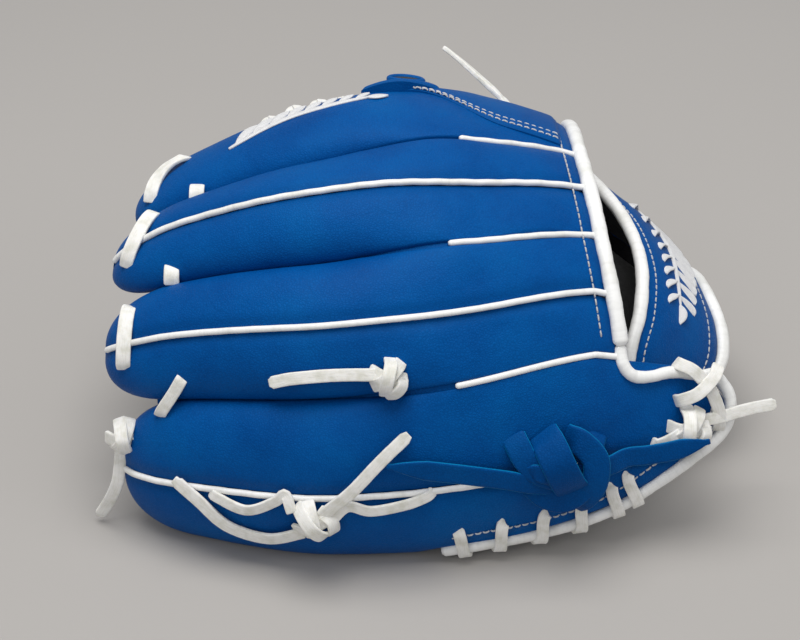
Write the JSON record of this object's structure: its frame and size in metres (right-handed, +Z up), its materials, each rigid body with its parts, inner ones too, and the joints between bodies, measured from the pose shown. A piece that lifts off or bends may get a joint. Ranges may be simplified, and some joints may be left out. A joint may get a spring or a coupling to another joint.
{
  "type": "fielder's glove",
  "caption": "Leather ball-catching glove for the left hand with finger stalls, laced web, wrist strap and tied rawhide laces; its thumb and little-finger sides fold in to close the pocket.",
  "frame": {"origin": "on the floor under the middle of the glove as it rests on its little-finger edge and thumb edge; loose lace ends left out", "axes": "+X from the fingertips to the wrist, +Z up, the back of the hand faces -Y and the thumb is on the +Y side"},
  "size_m": [0.3188, 0.2514, 0.1637],
  "materials": {
    "leather": "satin",
    "palm_leather": "satin",
    "thong": "satin",
    "piping": "smooth",
    "rawhide": "matte",
    "lining": "matte",
    "felt": "matte"
  },
  "bodies": {
    "hand": {"index_back": "leather", "middle_back_upper": "leather", "middle_back_lower": "leather", "ring_back_upper": "leather", "ring_back_lower": "leather", "index_palm": "palm_leather", "middle_palm": "palm_leather", "ring_palm": "palm_leather", "middle_welt": "piping", "ring_welt": "piping", "index_middle_welt": "piping", "middle_ring_welt": "piping", "ring_little_welt": "piping", "back_edge_binding": "piping", "wrist_strap": "leather", "wrist_strap_lining": "lining", "strap_inner_binding": "piping", "strap_outer_binding": "piping", "palm_lining": "lining", "index_tip_lace": "rawhide", "middle_tip_lace": "rawhide", "ring_tip_lace": "rawhide", "index_middle_link": "rawhide", "middle_ring_link": "rawhide", "ring_side_knot": "rawhide", "ring_side_tail": "rawhide", "finger_pad": "leather"},
    "little_side": {"little_back_upper": "leather", "little_back_lower": "leather", "little_palm": "palm_leather", "little_welt": "piping", "little_heel_binding": "piping", "little_heel_pad": "felt", "ring_little_link": "rawhide", "little_tip_knot": "rawhide", "little_side_knot": "rawhide", "thong_knot": "thong", "heel_knot": "rawhide", "little_side_tail_low": "rawhide", "little_side_tail_high": "rawhide", "little_tip_tail": "rawhide", "heel_tail": "rawhide", "thong_tail_tip": "thong", "thong_tail_heel": "thong", "little_side_lace": "rawhide", "little_side_lace_rear": "rawhide", "strap_lace": "rawhide", "little_loop": "thong", "little_heel_lace": "rawhide"},
    "thumb_side": {"thumb_back": "leather", "thumb_palm": "palm_leather", "thumb_heel_binding": "piping", "thumb_heel_pad": "felt", "web_post_index": "leather", "web_post_thumb": "leather", "web_bar_tip": "leather", "web_bar_middle": "leather", "web_bar_crotch": "leather", "web_lace": "rawhide", "web_tail": "rawhide"}
  },
  "joints": [
    {"name": "thumb_fold", "type": "hinge", "parent": "hand", "child": "thumb_side", "pos_m": [0, 0.0543, 0.0905], "axis": [-0.9876, 0.0443, 0.1506], "range_deg": [0, 18], "stiffness_Nm_per_rad": 0.6},
    {"name": "little_side_fold", "type": "hinge", "parent": "hand", "child": "little_side", "pos_m": [0, -0.0607, 0.0768], "axis": [0.992, 0, 0.1263], "range_deg": [0, 6], "stiffness_Nm_per_rad": 1.2}
  ]
}
